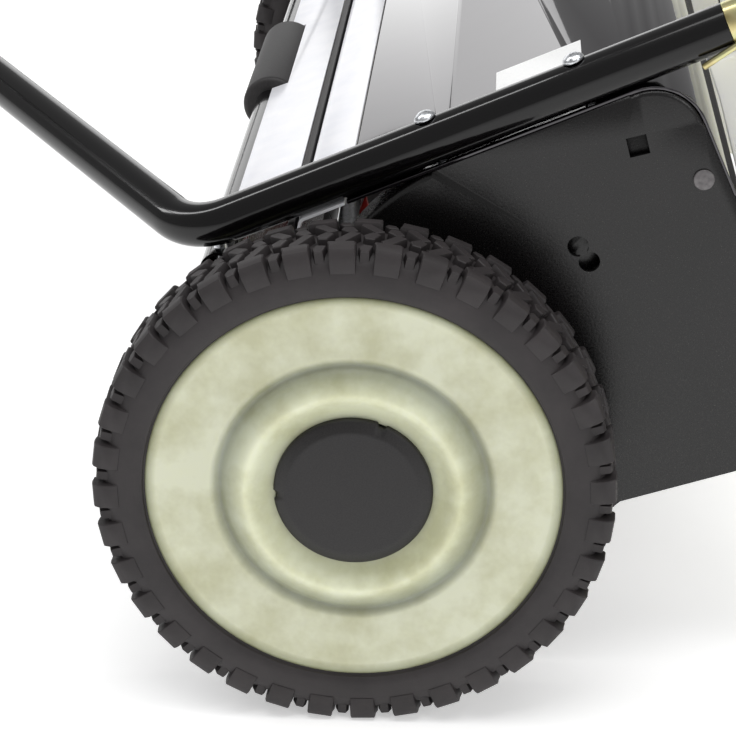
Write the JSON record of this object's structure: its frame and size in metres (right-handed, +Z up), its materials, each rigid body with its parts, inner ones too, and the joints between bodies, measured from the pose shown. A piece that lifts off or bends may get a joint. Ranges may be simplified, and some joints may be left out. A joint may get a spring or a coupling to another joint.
{
  "type": "reel mower",
  "caption": "Hooded push reel mower with large side wheels, a bent frame-tube yoke, a folding T-handle and a lift-off front grass catcher.",
  "frame": {"origin": "on the ground, straight under the middle of the wheel axis", "axes": "+X forward, +Y to the mower's left, +Z up"},
  "size_m": [1.5318, 0.8084, 0.9786],
  "materials": {
    "plate_paint": "satin black powder coat with fine orange peel",
    "tube_enamel": "gloss black enamel",
    "hood_enamel": "high gloss black enamel",
    "apron_paint": "gloss light grey paint",
    "black_rubber": "soft black rubber",
    "grip_rubber": "ribbed black rubber",
    "tyre_rubber": "semi-pneumatic tyre rubber",
    "natural_nylon": "unpigmented natural nylon",
    "cap_plastic": "fine textured black plastic",
    "zinc_white": "bright zinc plate",
    "zinc_yellow": "yellow passivated zinc plate",
    "turned_steel": "ground bright steel",
    "sintered_bronze": "oiled sintered bronze",
    "pinion_steel": "sintered steel",
    "bearing_iron": "black pressed steel housing",
    "blade_steel": "ground blade steel with red painted backs",
    "spider_enamel": "red enamel",
    "handle_enamel": "gloss black enamel",
    "cast_aluminium": "sand cast aluminium",
    "roller_plastic": "hard black plastic",
    "catcher_plastic": "natural cream moulded plastic",
    "label_film": "blank white film"
  },
  "bodies": {
    "frame": {"side_plate_right": "plate_paint", "side_plate_left": "plate_paint", "frame_tube_right": "tube_enamel", "frame_tube_left": "tube_enamel", "axles": "turned_steel", "axle_nuts_and_clips": "zinc_white", "dust_shields": "plate_paint", "reel_bearings": "bearing_iron", "bearing_screws": "zinc_white", "hood_cover": "hood_enamel", "hood_rear_panel": "hood_enamel", "seam_bead": "black_rubber", "rear_apron": "apron_paint", "rear_deflector": "plate_paint", "front_lip_strip": "black_rubber", "data_label": "label_film", "tube_bolts": "zinc_white", "rear_cross_tube": "tube_enamel", "cross_tube_bolts": "zinc_white", "carry_grip": "grip_rubber", "catcher_hooks": "zinc_yellow", "yoke_clamps": "cast_aluminium", "yoke_clevis": "tube_enamel", "yoke_bolts": "zinc_white", "handle_pivot_pins": "zinc_white", "bed_knife": "blade_steel", "bed_bar": "bearing_iron", "bed_bar_screws": "zinc_white", "arm_pivot_bolts": "zinc_white", "front_tie_rod": "zinc_white"},
    "wheel_right": {"tyre_right": "tyre_rubber", "wheel_disc_right": "natural_nylon", "hub_cap_right": "cap_plastic", "wheel_bush_right": "sintered_bronze", "ring_gear_right": "natural_nylon"},
    "wheel_left": {"tyre_left": "tyre_rubber", "wheel_disc_left": "natural_nylon", "hub_cap_left": "cap_plastic", "wheel_bush_left": "sintered_bronze", "ring_gear_left": "natural_nylon"},
    "pinion_right": {"pinion_right": "pinion_steel"},
    "pinion_left": {"pinion_left": "pinion_steel"},
    "reel": {"reel_shaft": "turned_steel", "reel_spiders": "spider_enamel", "reel_blades": "blade_steel", "drive_pawls": "turned_steel", "pinion_clips": "zinc_white"},
    "roller_arms": {"roller_brackets": "turned_steel", "roller_shaft": "turned_steel", "height_lock_bolts": "zinc_white"},
    "roller": {"rear_roller": "roller_plastic"},
    "handle": {"handle_stem_lower": "handle_enamel", "handle_stem_upper": "handle_enamel", "stem_bolt": "zinc_white", "stem_knob": "cap_plastic", "handle_tee": "cast_aluminium", "handle_crossbar": "handle_enamel", "handle_grips": "grip_rubber"},
    "catcher": {"catcher_box": "catcher_plastic", "catcher_pins": "zinc_white"}
  },
  "joints": [
    {"name": "wheel_right_spin", "type": "hinge", "parent": "frame", "child": "wheel_right", "pos_m": [0, -0.38, 0.127], "axis": [0, 1, 0], "continuous": true},
    {"name": "wheel_left_spin", "type": "hinge", "parent": "frame", "child": "wheel_left", "pos_m": [0, 0.38, 0.127], "axis": [0, 1, 0], "continuous": true},
    {"name": "pinion_right_spin", "type": "hinge", "parent": "frame", "child": "pinion_right", "pos_m": [0.0384, -0.369, 0.11], "axis": [0, 1, 0], "continuous": true},
    {"name": "pinion_left_spin", "type": "hinge", "parent": "frame", "child": "pinion_left", "pos_m": [0.0384, 0.369, 0.11], "axis": [0, 1, 0], "continuous": true},
    {"name": "reel_spin", "type": "hinge", "parent": "frame", "child": "reel", "pos_m": [0.0384, 0, 0.11], "axis": [0, 1, 0], "continuous": true},
    {"name": "roller_arm_swing", "type": "hinge", "parent": "frame", "child": "roller_arms", "pos_m": [-0.045, 0, 0.095], "axis": [0, 1, 0], "range_deg": [-8, 14]},
    {"name": "roller_spin", "type": "hinge", "parent": "roller_arms", "child": "roller", "pos_m": [-0.08, 0, 0.025], "axis": [0, 1, 0], "continuous": true},
    {"name": "handle_fold", "type": "hinge", "parent": "frame", "child": "handle", "pos_m": [-0.418, 0, 0.332], "axis": [0, 1, 0], "range_deg": [0, 105]},
    {"name": "catcher_unhook", "type": "slide", "parent": "frame", "child": "catcher", "axis": [0.9191, 0, 0.3939], "range_m": [0, 0.15]}
  ],
  "couplings": [
    {"joint": "pinion_right_spin", "follows": "wheel_right_spin", "ratio": 4.5},
    {"joint": "pinion_left_spin", "follows": "wheel_left_spin", "ratio": 4.5},
    {"joint": "reel_spin", "follows": "wheel_left_spin", "ratio": 4.5}
  ]
}
